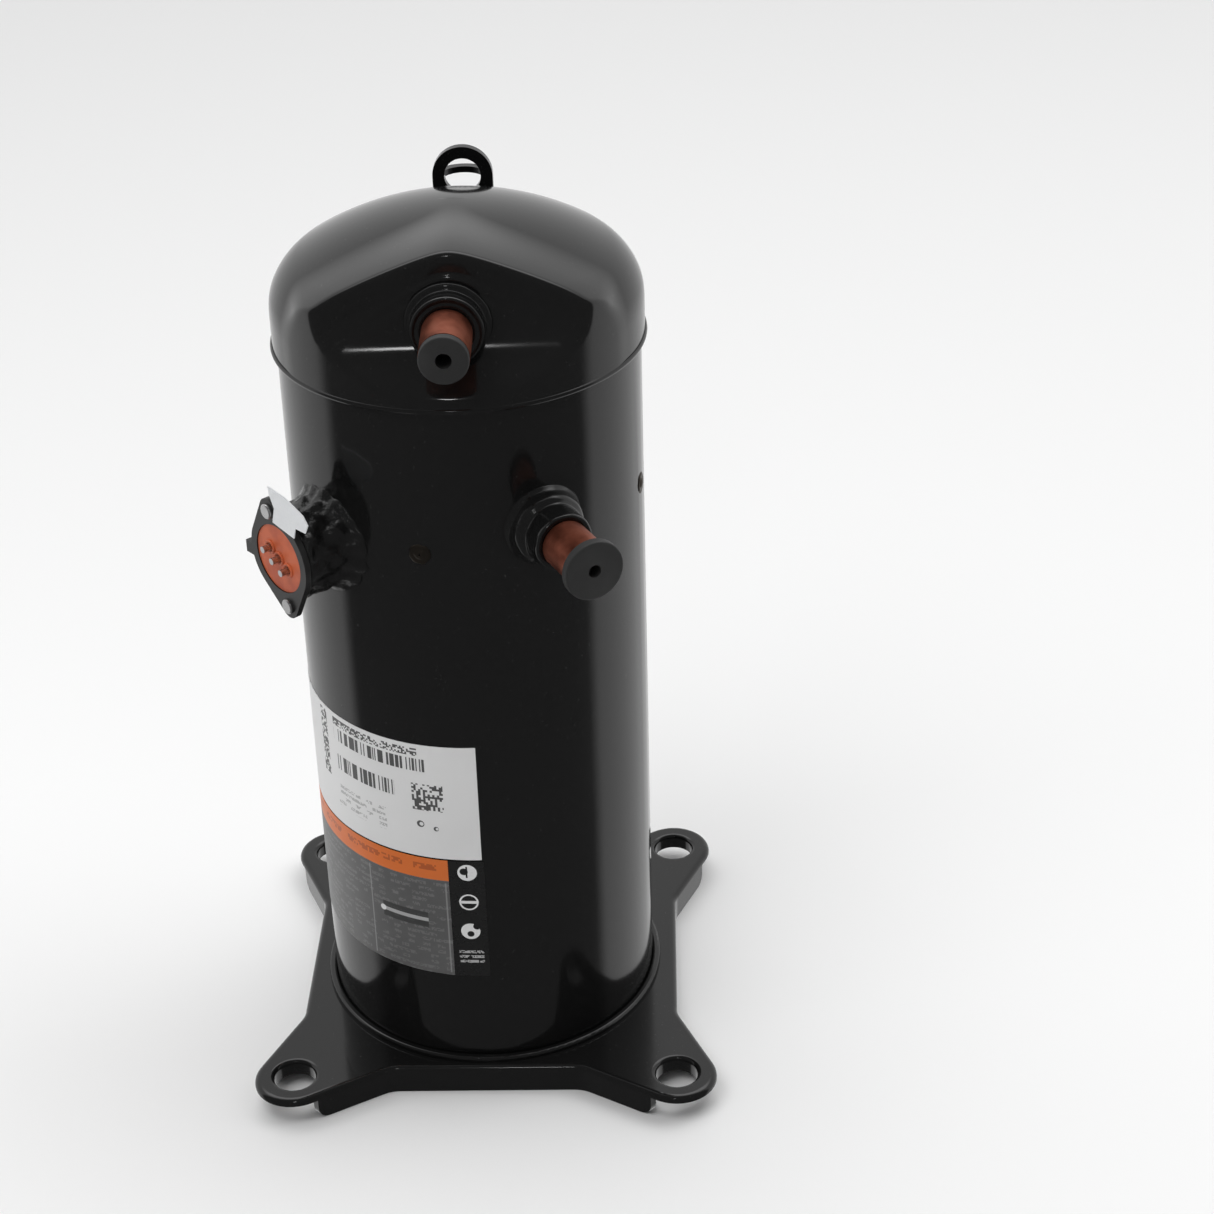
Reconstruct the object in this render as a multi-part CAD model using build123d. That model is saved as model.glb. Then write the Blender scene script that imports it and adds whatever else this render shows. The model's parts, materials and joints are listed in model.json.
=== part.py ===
from build123d import *
import os
from math import cos, radians, sin, sqrt

# Hermetic scroll compressor, millimetres. +Z is up the shaft and -Y is the discharge side.
# z = 0 is the plane in which the four feet bear, and the origin is the centre of their holes.

# foot plate
hole_spacing = 190.5  # square pattern of the foot holes
foot_hole_r = 10.3
foot_rim_wall = 2.5
foot_mouth_r = 2.2  # rounding of the hole's upper edge
foot_rim_depth = 4.5  # the rolled rim hangs this far below the plate
foot_ear_r = 20.0
plate_t = 3.5
plate_edge_r = 3.0
flange_depth = 11.5
waist_front_margin = 7.5  # from the shell to the waisted front and back
waist_side_margin = 12.5
waist_straight = 48.0  # half length of each straight waist
waist_corner_r = 16.0
flange_run = 1.8  # the down-turned flange ends this far beyond the hole's centre, along the diagonal
flange_corner_r = 6.0
collar_w = 4.0
collar_h = 3.0
collar_edge_r = 1.4

# shell
shell_r = 83.5
shell_wall = 3.2
shell_top = 366.0
bottom_wall = 3.6
bottom_skirt_h = 26.0
bottom_knuckle_z = 14.0
bottom_knuckle_r = 12.0
bottom_crown_r = 400.0
bottom_hole_gap = 1.2

# top cap
cap_gap = 0.05
cap_wall = 2.15
cap_lap = 3.5  # the lip hangs this far below the shell's top
cap_skirt_h = 16.0
cap_knuckle_r = 30.0
cap_crown_r = 137.0
facet_azimuth = -88.0  # flat front of the cap, which carries the discharge fitting
facet_depth = 21.2  # from the skirt's radius in to the facet
facet_half_w = 58.0
facet_low = 12.0  # above the muffler plate; from here down the facet slopes out to the skirt
facet_foot = 1.5
gable_eave = 15.5  # above the skirt
gable_ridge = 49.5
gable_ridge_r = 20.0
muffler_t = 4.0
muffler_gap = 0.15
muffler_hole_r = 11.0

# lifting lug
lug_inset = 17.7  # from the skirt's radius
lug_w = 28.5
lug_t = 4.0
lug_hole_r = 8.6
lug_h = 21.5  # above the dome where the lug stands
lug_root = 10.0
lug_back_h = 3.0
lug_back = 7.5  # top of the rear band, above the dome

# suction and discharge stubs
stub_r = 11.1
stub_wall = 1.5
stub_shoulder = 0.6  # the brazed root is this much smaller in radius, so a shoulder seats on the fitting
plug_clearance = 0.05
plug_seat_gap = 0.1
plug_hole_depth = 13.0
plug_edge_r = 0.8
suction_azimuth = -61.7
suction_z = 301.5
suction_inner_l = 9.5  # inside the shell's surface
suction_sleeve_wall = 3.5
suction_sleeve_l = 20.5
suction_collar_w = 3.5
suction_collar_l = 8.0
suction_stub_l = 24.6
discharge_azimuth = -89.0
discharge_rise = 16.5  # above the cap's skirt
discharge_inner_l = 4.5  # inside the facet
discharge_boss_wall = 5.8
discharge_boss_inner_l = 3.5
discharge_boss_l = 9.5
discharge_stub_l = 24.7
plug_face_t = 4.0
plug_stem_l = 18.0
suction_plug_lap = 2.9  # the plug's face is this much wider than the stub
suction_plug_hole_r = 3.0
discharge_plug_lap = -0.2
discharge_plug_hole_r = 3.5

# motor terminal
terminal_azimuth = -137.0
terminal_z = 286.8
terminal_body_r = 17.5
terminal_body_t = 7.0
terminal_body_proud = 1.5
terminal_seal_r = 3.0
terminal_pin_r = 1.6
terminal_pin_pitch = 7.2
terminal_pin_proud = 4.0
terminal_pin_tilt = 60.0  # the row of pins leans this far from the vertical
fence_r = 20.6
fence_wall = 2.2
fence_root = 6.0  # the fence starts this far under the shell's surface and is cut to it
fence_l = 23.5
terminal_flange_t = 3.0
terminal_ear_r = 6.0
terminal_ear_reach = 23.0
terminal_ear_tilt = 12.0
insulator_r = 16.4
insulator_t = 4.0
insulator_recess = 0.6
terminal_screw_r = 2.2
terminal_screw_head_r = 3.6
terminal_screw_head_t = 1.6
terminal_screw_edge_r = 0.7
terminal_screw_l = 6.0
cluster_block = (24.0, 30.0, 11.0)  # height, width and depth of the block on the inner pin ends
cluster_floor = 2.0
latch_w = 6.0
latch_l = 4.6
latch_drop = 2.8  # the latch tab's middle lies this far below the pins' middle
tag_t = 0.5
tag_gap = 0.2
# the tag's corners on the flange's face: local x is down, y is along the shell
tag_corners = (
    (-36.0, -2.4),
    (-35.1, 10.1),
    (-30.7, 23.4),
    (-27.0, 26.5),
    (-22.3, 24.0),
    (-21.9, 16.5),
    (-16.2, 14.8),
    (-18.4, -1.0),
    (-26.1, 1.2),
    (-31.9, -1.6),
)

# labels
label_t = 0.2
label_start = -190.0
nameplate_end = -87.6
nameplate_z = (125.5, 189.5)
warning_end = -99.0
warning_header_z = (112.5, 124.5)
warning_body_z = (55.5, 112.5)
icon_start = -98.8
icon_end = -87.0

# motor
stator_r_in = 42.0
stator_z = (105.0, 195.0)
stator_slots = 24
slot_depth = 17.0
slot_w = 5.0
winding_r = (46.0, 70.0)
winding_h = 26.0
winding_edge_r = 5.0
air_gap = 0.4
slot_mouth_w = 2.0
slot_start_r = 46.0
slot_lining = 0.2
end_ring_h = 9.0
end_ring_w = 12.0
end_ring_step = 0.6
lead_r = 1.8
lead_spacing = 8.0
lead_start_r = 66.0
lead_bend_r = 25.0
lead_bends = (0.35, 0.7)  # shares of the rise at which the leads lean out and stand up again
lead_gather = 0.7
protector_r = 9.0
protector_h = 12.0
protector_edge_r = 2.0
protector_azimuth = 45.0

# crankshaft and bearings
orbit_r = 4.0
main_journal_r = 16.0
rotor_seat_r = 15.0
lower_journal_r = 11.0
journal_gap = 0.05
bush_wall = 2.5
crank_pin_r = 9.0
drive_bushing_r = 13.0
bushing_travel = 0.3
bushing_rest = 1.5  # from the recess floor up to the bushing
bushing_step = 0.5  # from the bushing's top up to the pin's
lower_bearing_z = (40.0, 62.0)
lower_leg_t = 8.0
lower_leg_w = 18.0
shaft_bottom_z = 32.0
thrust_washer_t = 1.95
thrust_washer_gap = 0.05
thrust_washer_hole_r = 4.5
lower_foot_h = 4.0  # of the bracket, below the shaft
lower_floor_t = 2.0
lower_lip_w = 5.0
lower_leg_count = 3
lower_leg_azimuth = 90.0
oil_hole_r = 3.0
oil_hole_inset = 1.0  # from the crank pin's axis towards the shaft's
seat_gap = 2.0  # from a bearing to the rotor's seat
counterweight_r = 38.0
counterweight_hub_wall = 7.0
counterweight_lap = 4.0  # the half ring starts this far outside the shaft
upper_counterweight_z = (232.0, 250.0)
lower_counterweight_h = 14.0
magnet_r = 14.0
magnet_bore_r = 7.0
magnet_h = 6.0

# scroll set
thrust_z = 312.0
housing_bottom_z = 264.0
housing_body_r = 62.0
housing_hub_wall = 6.0
housing_floor_t = 10.0
housing_leg_azimuths = (-11.0, -101.0, 169.0, 79.0)
housing_leg_w = 24.0
housing_leg_root = 12.0  # the legs start this far inside the body
housing_step = 0.2  # the ring runs this far above the housing
hub_orbit_gap = 1.0
main_bush_gap = 0.5
housing_leg_z = (278.0, 306.0)
plug_weld_z = 292.0
plug_weld_r = 4.0
plug_weld_proud = 0.5
thrust_gap = 0.2
thrust_land_r = 43.5
orbiter_rim = 4.5  # plate beyond the wrap
orbiter_t = 9.0
hub_wall = 5.0
hub_h = 20.0
hub_chamber = 2.0  # over the bush, and under the hub
pin_step = 4.0
wrap_t = 3.0
wrap_h = 22.0
wrap_gap = 0.2  # least gap between flanks, and between a tip and a floor
wrap_half_turns = 7
fixed_wall = 9.5
cavity_gap = 1.0
fixed_t = 16.0
discharge_port_r = 4.0
discharge_port_x = -2.0
oldham_r = (48.0, 58.0)
oldham_t = 5.0
oldham_key_w = 9.0
oldham_key_h = 4.0
key_gap = 0.08
key_end_gap = 0.4  # over a key's end
key_inset = 0.5  # the keys stop this far inside the ring's edges
post_r = 5.5  # the sleeves on the posts have this radius too
post_offset = 1.5  # the posts stand this far outside the fixed scroll's radius
sleeve_gap = 0.06
scroll_ear_r = 8.5
scroll_ear_low = 5.0  # above the fixed scroll's rim
scroll_ear_t = 12.0
scroll_pocket_gap = 0.6
suction_window_w = 34.0
suction_window_sill = 4.0
suction_window_lintel = 3.0
bolt_r = 3.0
bolt_depth = 14.0
bolt_end_gap = 1.0
bolt_head_r = 6.2
bolt_head_h = 5.0
float_travel = 0.8
float_gap = 0.3  # left under the bolt heads at full travel
seal_r = (17.0, 42.0)
seal_lip_r = 22.0
seal_body_h = 8.5
seal_recess = 8.0
seal_gap = 0.1
seal_lip_gap = 0.2  # to the muffler plate when the scroll and the seal are both up
valve_r = 15.0
valve_t = 2.0
valve_lift = 2.5
valve_gap = 0.05
valve_hole_r = 5.0  # in the middle of the retainer
retainer_r = (20.0, 26.0)
retainer_t = 2.0
retainer_legs = 3
retainer_leg_w = 8.0
retainer_gap = 0.4
relief_r = 6.0
relief_hex_r = 8.0
relief_stem_l = 3.0  # below the muffler plate
relief_body_h = 7.2
relief_circle_r = 52.0
relief_azimuth = 40.0
baffle_t = 1.5
baffle_gap = 11.3  # from the shell's bore
baffle_half_angle = 17.0
baffle_z = (282.0, 320.0)

shell_bore_r = shell_r - shell_wall
terminal_face_r = shell_r + terminal_body_proud
cap_r = shell_r + cap_gap + cap_wall
half_spacing = hole_spacing / 2
waist_front = shell_r + waist_front_margin
waist_side = shell_r + waist_side_margin
flange_stop = half_spacing * sqrt(2) + flange_run
baffle_r = shell_bore_r - baffle_gap
fence_end = shell_r + fence_l
orbiter_top = thrust_z + thrust_gap + orbiter_t
wrap_floor = orbiter_top + wrap_gap + wrap_h  # underside of the fixed scroll's end plate
fixed_top = wrap_floor + fixed_t
hub_bore_r = drive_bushing_r + journal_gap + bush_wall
hub_r = hub_bore_r + hub_wall
rotor_r = stator_r_in - air_gap
stub_root_r = stub_r - stub_shoulder
stub_bore_r = stub_r - stub_wall
suction_inner_end = shell_r - suction_inner_l
suction_sleeve_r = stub_root_r + suction_sleeve_wall
suction_sleeve_end = shell_r + suction_sleeve_l
suction_collar_r = suction_sleeve_r + suction_collar_w
suction_collar_end = shell_r + suction_collar_l
suction_stub_end = suction_sleeve_end + suction_stub_l
suction_plug_r = stub_r + suction_plug_lap
discharge_plug_r = stub_r + discharge_plug_lap
cap_lip_z = shell_top - cap_lap
cap_knuckle_z = cap_lip_z + cap_skirt_h
cap_centre_z = cap_knuckle_z - sqrt((cap_crown_r - cap_knuckle_r) ** 2 - (cap_r - cap_knuckle_r) ** 2)
facet_d = cap_r - facet_depth  # from the shaft's axis
facet_low_z = shell_top + muffler_t + facet_low
facet_foot_z = shell_top + muffler_t + facet_foot
gable_eave_z = cap_knuckle_z + gable_eave
gable_ridge_z = cap_knuckle_z + gable_ridge
lug_y = cap_r - lug_inset
dome_z = cap_centre_z + sqrt(cap_crown_r**2 - lug_y**2)  # the dome's height where the lug stands
lug_top_z = dome_z + lug_h
discharge_z = cap_knuckle_z + discharge_rise
discharge_inner_end = facet_d - discharge_inner_l
discharge_boss_r = stub_root_r + discharge_boss_wall
discharge_boss_inner = facet_d - discharge_boss_inner_l
discharge_boss_end = facet_d + discharge_boss_l
discharge_stub_end = discharge_boss_end + discharge_stub_l
half_turn_step = wrap_t + orbit_r + wrap_gap  # radius gained in each half turn of a wrap
wrap_outer_r = half_turn_step * (wrap_half_turns + 0.5) + wrap_t / 2
orbiter_r = wrap_outer_r + orbiter_rim
fixed_cavity_r = wrap_outer_r + orbit_r + cavity_gap
fixed_r = fixed_cavity_r + fixed_wall
post_circle_r = fixed_r + post_offset
recess_floor = thrust_z - hub_h - hub_chamber  # floor of the housing's recess, which the hub orbits in
pin_top = thrust_z - pin_step
oldham_low = thrust_z - oldham_t
ear_low = orbiter_top + wrap_gap + scroll_ear_low
sleeve_top = ear_low + scroll_ear_t + float_travel + float_gap
foot_centres = [(sx * half_spacing, sy * half_spacing) for sx in (-1, 1) for sy in (-1, 1)]
past = 1.0  # cutters run this far past what they cut


def cylinder(radius, low, high):
    return Pos(0, 0, low) * Cylinder(radius, high - low, align=(Align.CENTER, Align.CENTER, Align.MIN))


def tube(outer, inner, low, high):
    return cylinder(outer, low, high) - cylinder(inner, low - 1, high + 1)


def block(x, y, z):
    """A box from three (low, high) pairs."""
    size = [high - low for low, high in (x, y, z)]
    middle = [(high + low) / 2 for low, high in (x, y, z)]
    return Pos(*middle) * Box(*size)


def outward(azimuth, height):
    """Local +Z points straight out of the shell, local +X points down."""
    return Rot(0, 0, azimuth) * Pos(0, 0, height) * Rot(0, 90, 0)


def polar(radius, azimuth):
    return radius * cos(radians(azimuth)), radius * sin(radians(azimuth))


def head(outer_r, knuckle_r, crown_r, skirt_z, knuckle_z):
    """A solid torispherical head: a straight skirt, a knuckle and a crown."""
    reach = crown_r - knuckle_r
    centre_z = knuckle_z - sqrt(reach**2 - (outer_r - knuckle_r) ** 2)
    lean = ((outer_r - knuckle_r) / reach, (knuckle_z - centre_z) / reach)
    shoulder = (crown_r * lean[0], centre_z + crown_r * lean[1])
    side = Line((outer_r, skirt_z), (outer_r, knuckle_z))
    knuckle = TangentArc((outer_r, knuckle_z), shoulder, tangent=(0, 1))
    crown = TangentArc(shoulder, (0, centre_z + crown_r), tangent=(-lean[1], lean[0]))
    axis = Line((0, centre_z + crown_r), (0, skirt_z))
    base = Line((0, skirt_z), (outer_r, skirt_z))
    profile = make_face([side, knuckle, crown, axis, base])
    return revolve(Plane.XZ * profile, Axis.Z)


def foot_outline():
    """A waisted plate with four round ears."""
    outline = Rectangle(2 * waist_side, 2 * waist_front)
    for sx in (-1, 1):
        for sy in (-1, 1):
            ear = Pos(sx * half_spacing, sy * half_spacing) * Circle(foot_ear_r)
            root = Polygon(
                (sx * waist_straight, sy * waist_front),
                (sx * waist_side, sy * waist_straight),
                (sx * waist_straight, sy * waist_straight),
                align=None,
            )
            outline += make_hull(ear.edges() + root.edges())
    notches = [v for v in outline.vertices() if min(abs(v.X), abs(v.Y)) < waist_straight + 1]
    return fillet(notches, waist_corner_r)


def beyond_flange():
    """What is cut from under one ear, which leaves the flange's ends with round lower corners."""
    turn = flange_stop - flange_corner_r
    width = (-2 * foot_ear_r, 2 * foot_ear_r)
    corner = Rot(90, 0, 0) * Cylinder(flange_corner_r, 4 * foot_ear_r)
    corner = Pos(turn, 0, flange_corner_r - flange_depth) * corner
    kept = corner + block((turn, flange_stop), width, (flange_corner_r - flange_depth, 0))
    cut = block((turn, flange_stop + 2 * foot_ear_r), width, (-flange_depth - past, 0)) - kept
    return cut - Pos(half_spacing * sqrt(2), 0) * cylinder(foot_hole_r + foot_rim_wall, -foot_rim_depth, 0)


def base_plate():
    outline = foot_outline()
    plate = Pos(0, 0, -flange_depth) * extrude(outline, flange_depth + plate_t)
    plate = fillet(plate.faces().sort_by(Axis.Z)[-1].edges(), plate_edge_r)
    plate -= Pos(0, 0, -flange_depth) * extrude(offset(outline, -plate_t), flange_depth)
    for x, y in foot_centres:
        plate += Pos(x, y) * cylinder(foot_hole_r + foot_rim_wall, -foot_rim_depth, plate_t / 2)
        plate -= Pos(x, y) * cylinder(foot_hole_r, -flange_depth, plate_t + 1)
    for n in range(4):
        plate -= Rot(0, 0, 90 * n + 45) * beyond_flange()
    mouths = [
        edge
        for edge in plate.edges().filter_by(GeomType.CIRCLE)
        if abs(edge.radius - foot_hole_r) < 1e-3 and edge.center().Z > plate_t - 1e-3
    ]
    plate = fillet(mouths, foot_mouth_r)
    drop = max(bottom_knuckle_r**2 - (bottom_knuckle_z - plate_t) ** 2, 0)
    hole_r = shell_bore_r - bottom_knuckle_r + sqrt(drop) + bottom_hole_gap
    plate -= cylinder(hole_r, -flange_depth - 1, plate_t + 1)
    collar = tube(shell_r + collar_w, shell_r, plate_t, plate_t + collar_h)
    return plate + fillet(collar.edges().group_by(Axis.Z)[-1], collar_edge_r)


def bottom_cap():
    outer = head(shell_bore_r, bottom_knuckle_r, bottom_crown_r, -bottom_skirt_h, -bottom_knuckle_z)
    inner = head(
        shell_bore_r - bottom_wall,
        bottom_knuckle_r - bottom_wall,
        bottom_crown_r - bottom_wall,
        -bottom_skirt_h - 1,
        -bottom_knuckle_z,
    )
    return mirror(outer - inner, Plane.XY)


def centre_shell():
    shell = tube(shell_r, shell_bore_r, plate_t, shell_top)
    shell -= outward(suction_azimuth, suction_z) * cylinder(suction_sleeve_r, shell_r / 2, shell_r + 5)
    shell -= outward(terminal_azimuth, terminal_z) * cylinder(terminal_body_r, shell_r / 2, shell_r + 5)
    for azimuth in housing_leg_azimuths:
        shell -= outward(azimuth, plug_weld_z) * cylinder(plug_weld_r, shell_r / 2, shell_r + 5)
    return shell


def gable(inset):
    """The raised front of the cap: a gable with a round ridge, inside the cap's own radius."""
    width = facet_half_w - inset
    drop = inset * sqrt(1 + ((gable_ridge_z - gable_eave_z) / facet_half_w) ** 2)
    front = Polygon(
        (-width, cap_lip_z),
        (width, cap_lip_z),
        (width, gable_eave_z - inset),
        (0, gable_ridge_z - drop),
        (-width, gable_eave_z - inset),
        align=None,
    )
    front = fillet(front.vertices().sort_by(Axis.Y)[-1], gable_ridge_r - inset)
    prism = extrude(Plane.XZ * front, cap_r)
    return prism & cylinder(cap_r - inset, cap_lip_z, gable_ridge_z)


def beyond_facet(inset):
    """What the flat front and the slope under it cut away, moved in by the inset."""
    slope = (cap_r - facet_d) / (facet_low_z - facet_foot_z)
    reach = facet_low_z - facet_foot_z + 2 * cap_wall
    top = gable_ridge_z + cap_wall
    side = Polygon(
        (facet_d, top),
        (facet_d, facet_low_z),
        (facet_d + slope * reach, facet_low_z - reach),
        (2 * cap_r, facet_low_z - reach),
        (2 * cap_r, top),
        align=None,
    )
    if inset > 0:
        side = offset(side, inset, kind=Kind.INTERSECTION)
    cut = extrude(Plane.XZ * side, cap_r, both=True)
    return Rot(0, 0, -90) * cut


def cap_solid(inset, skirt_z):
    """The cap's outer form, or with an inset its hollow."""
    form = head(cap_r - inset, cap_knuckle_r - inset, cap_crown_r - inset, skirt_z, cap_knuckle_z)
    form = form + gable(inset) - beyond_facet(inset)
    return Rot(0, 0, facet_azimuth + 90) * form


def top_cap():
    cap = cap_solid(0, cap_lip_z) - cap_solid(cap_wall, cap_lip_z - past)
    return cap - outward(discharge_azimuth, discharge_z) * cylinder(discharge_boss_r, shell_r / 2, cap_r)


def lifting_lug():
    arch_z = lug_top_z - lug_w / 2
    plate = Pos(0, arch_z) * Circle(lug_w / 2)
    foot_z = dome_z - lug_root
    plate += Pos(0, (foot_z + arch_z) / 2) * Rectangle(lug_w, arch_z - foot_z)
    plate -= Pos(0, arch_z) * Circle(lug_hole_r)
    lug = Pos(0, lug_y + lug_t / 2, 0) * extrude(Plane.XZ * plate, lug_t)
    back_z = dome_z + lug_back
    loop = tube(lug_w / 2, lug_w / 2 - lug_t, back_z - lug_back_h, back_z)
    lug += Pos(0, lug_y, 0) * (loop & block((-lug_w, lug_w), (0, lug_w), (back_z - lug_w, back_z)))
    return lug - head(cap_r, cap_knuckle_r, cap_crown_r, cap_lip_z, cap_knuckle_z)


def muffler_plate():
    plate = cylinder(shell_r + cap_gap - muffler_gap, shell_top, shell_top + muffler_t)
    plate -= cylinder(muffler_hole_r, shell_top - 1, shell_top + muffler_t + 1)
    relief_at = Pos(*polar(relief_circle_r, relief_azimuth))
    return plate - relief_at * cylinder(relief_r, shell_top - 1, shell_top + muffler_t + 1)


def relief_cartridge():
    """A sealed pressure relief valve: a hexagon body on a round stem, with a drilled outlet."""
    top = shell_top + muffler_t
    stem = cylinder(relief_r, shell_top - relief_stem_l, top)
    body = Pos(0, 0, top) * extrude(RegularPolygon(relief_hex_r, 6), relief_body_h)
    valve = stem + body - cylinder(relief_r / 2, shell_top - relief_stem_l - past, top)
    return Pos(*polar(relief_circle_r, relief_azimuth)) * valve


def valve_disc():
    seat = shell_top + muffler_t + valve_gap
    return cylinder(valve_r, seat, seat + valve_t)


def valve_retainer():
    low = shell_top + muffler_t
    top = low + valve_gap + valve_t + valve_lift + retainer_gap
    cage = tube(retainer_r[1], retainer_r[0], low, low + retainer_t)
    cage += tube(retainer_r[1], valve_hole_r, top, top + retainer_t)
    for n in range(retainer_legs):
        half = retainer_leg_w / 2
        leg = block((retainer_r[0], retainer_r[1] - past), (-half, half), (low, top + retainer_t))
        cage += Rot(0, 0, 360 / retainer_legs * n) * leg
    return cage


def suction_fitting():
    sleeve = tube(suction_sleeve_r, stub_root_r, suction_inner_end, suction_sleeve_end)
    low = shell_bore_r
    length = suction_collar_end - low
    root = Pos(0, 0, low + length / 2) * Cone(suction_collar_r, suction_sleeve_r, length)
    root -= cylinder(stub_root_r, low - past, suction_collar_end + past)
    at = outward(suction_azimuth, suction_z)
    return at * sleeve + (at * root - cylinder(shell_r, plate_t, shell_top))


def stub(azimuth, height, inner_end, seat, end):
    pipe = cylinder(stub_root_r, inner_end, seat) + cylinder(stub_r, seat, end)
    return outward(azimuth, height) * (pipe - cylinder(stub_bore_r, inner_end - past, end + past))


def stub_plug(azimuth, height, end, face_r, hole_r):
    """A moulded plug: its stem fills the stub's bore and its face covers the end."""
    face = cylinder(face_r, end + plug_seat_gap, end + plug_face_t)
    face = fillet(face.edges().group_by(Axis.Z)[-1], plug_edge_r)
    plug = face + cylinder(stub_bore_r - plug_clearance, end - plug_stem_l, end + plug_seat_gap)
    plug -= cylinder(hole_r, end + plug_face_t - plug_hole_depth, end + plug_face_t + past)
    return outward(azimuth, height) * plug


def discharge_fitting():
    return outward(discharge_azimuth, discharge_z) * tube(
        discharge_boss_r, stub_root_r, discharge_boss_inner, discharge_boss_end
    )


def suction_baffle():
    return Rot(0, 0, suction_azimuth) * ring_sector(
        baffle_r, baffle_r + baffle_t, -baffle_half_angle, baffle_half_angle, baffle_z
    )


def ring_sector(inner, outer, start, end, z):
    """Part of a tube between two azimuths."""
    reach = 3 * outer
    middle = (start + end) / 2
    wedge = Polygon((0, 0), polar(reach, start), polar(reach, middle), polar(reach, end), align=None)
    face = (Circle(outer) - Circle(inner)) & wedge
    return Pos(0, 0, z[0]) * extrude(face, z[1] - z[0])


def pin_places():
    """The three pins stand in a leaning row; local x is down and y is along the shell."""
    lean = radians(terminal_pin_tilt)
    return [(n * terminal_pin_pitch * cos(lean), n * terminal_pin_pitch * sin(lean)) for n in (-1, 0, 1)]


def terminal_group(radius, low, high):
    solids = [Pos(x, y) * cylinder(radius, low, high) for x, y in pin_places()]
    return solids


def placed_group(azimuth, height, solids):
    return Compound([outward(azimuth, height) * solid for solid in solids])


def terminal_body():
    low, high = terminal_face_r - terminal_body_t, terminal_face_r
    body = cylinder(terminal_body_r, low, high)
    for hole in terminal_group(terminal_seal_r, low - 1, high + 1):
        body -= hole
    return outward(terminal_azimuth, terminal_z) * body


def terminal_seals():
    low, high = terminal_face_r - terminal_body_t, terminal_face_r
    seals = [
        Pos(x, y) * tube(terminal_seal_r, terminal_pin_r, low, high) for x, y in pin_places()
    ]
    return placed_group(terminal_azimuth, terminal_z, seals)


def terminal_pins():
    low = terminal_face_r - terminal_body_t - cluster_block[2] + cluster_floor
    pins = terminal_group(terminal_pin_r, low, fence_end + terminal_flange_t + terminal_pin_proud)
    return placed_group(terminal_azimuth, terminal_z, pins)


def cluster_plug():
    """The block that joins the motor leads to the inner ends of the pins."""
    high = terminal_face_r - terminal_body_t
    low = high - cluster_block[2]
    half_h, half_w = cluster_block[0] / 2, cluster_block[1] / 2
    body = block((-half_h, half_h), (-half_w, half_w), (low, high))
    for hole in terminal_group(terminal_pin_r, low + cluster_floor, high + past):
        body -= hole
    return outward(terminal_azimuth, terminal_z) * body


def terminal_fence():
    fence = outward(terminal_azimuth, terminal_z) * tube(
        fence_r, fence_r - fence_wall, shell_r - fence_root, fence_end
    )
    return fence - cylinder(shell_r, plate_t, shell_top)


def flange_ears():
    lean = radians(terminal_ear_tilt)
    reach = (terminal_ear_reach * cos(lean), terminal_ear_reach * sin(lean))
    return [reach, (-reach[0], -reach[1])]


def terminal_flange():
    """A diamond plate with a screw in each ear and a tab for the cover's latch."""
    edges = Circle(fence_r).edges()
    for ear in flange_ears():
        edges += (Pos(*ear) * Circle(terminal_ear_r)).edges()
    outline = make_hull(edges) - Circle(insulator_r + 0.1)
    for ear in flange_ears():
        outline -= Pos(*ear) * Circle(terminal_screw_r)
    plate = Pos(0, 0, fence_end) * extrude(outline, terminal_flange_t)
    tab = block(
        (latch_drop - latch_w / 2, latch_drop + latch_w / 2),
        (-fence_r - latch_l, -fence_r + 1),
        (fence_end, fence_end + terminal_flange_t),
    )
    return outward(terminal_azimuth, terminal_z) * (plate + tab)


def terminal_insulator():
    high = fence_end + terminal_flange_t - insulator_recess
    disc = cylinder(insulator_r, high - insulator_t, high)
    for hole in terminal_group(terminal_pin_r, high - insulator_t - past, high + past):
        disc -= hole
    return outward(terminal_azimuth, terminal_z) * disc


def terminal_screws():
    face = fence_end + terminal_flange_t
    screws = []
    for ear in flange_ears():
        screw = cylinder(terminal_screw_head_r, face, face + terminal_screw_head_t)
        screw = fillet(screw.edges().group_by(Axis.Z)[-1], terminal_screw_edge_r)
        screw += cylinder(terminal_screw_r, face - terminal_screw_l, face)
        screws.append(Pos(*ear) * screw)
    return placed_group(terminal_azimuth, terminal_z, screws)


def terminal_tag():
    """A paper tag on the flange's face: a strip that leans up and back over the fence."""
    strip = Polygon(*tag_corners, align=None)
    for ear in flange_ears():
        strip -= Pos(*ear) * Circle(terminal_screw_head_r + tag_gap)
    face = fence_end + terminal_flange_t
    return outward(terminal_azimuth, terminal_z) * Pos(0, 0, face) * extrude(strip, tag_t, dir=(0, 0, 1))


def plug_welds():
    """The four welds through the shell that hold the bearing housing's legs."""
    welds = [
        outward(azimuth, plug_weld_z) * cylinder(plug_weld_r, shell_bore_r, shell_r + plug_weld_proud)
        for azimuth in housing_leg_azimuths
    ]
    return Compound(welds)


def label(end, z):
    return ring_sector(shell_r, shell_r + label_t, label_start, end, z)


def stator_core():
    sheet = Circle(shell_bore_r) - Circle(stator_r_in)
    slot = Pos(slot_start_r + slot_depth / 2, 0) * Rectangle(slot_depth, slot_w)
    slot += Pos(slot_start_r, 0) * Rectangle(2 * (slot_start_r - stator_r_in) + 1, slot_mouth_w)
    for n in range(stator_slots):
        sheet -= Rot(0, 0, 360 / stator_slots * n) * slot
    return Pos(0, 0, stator_z[0]) * extrude(sheet, stator_z[1] - stator_z[0])


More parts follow.
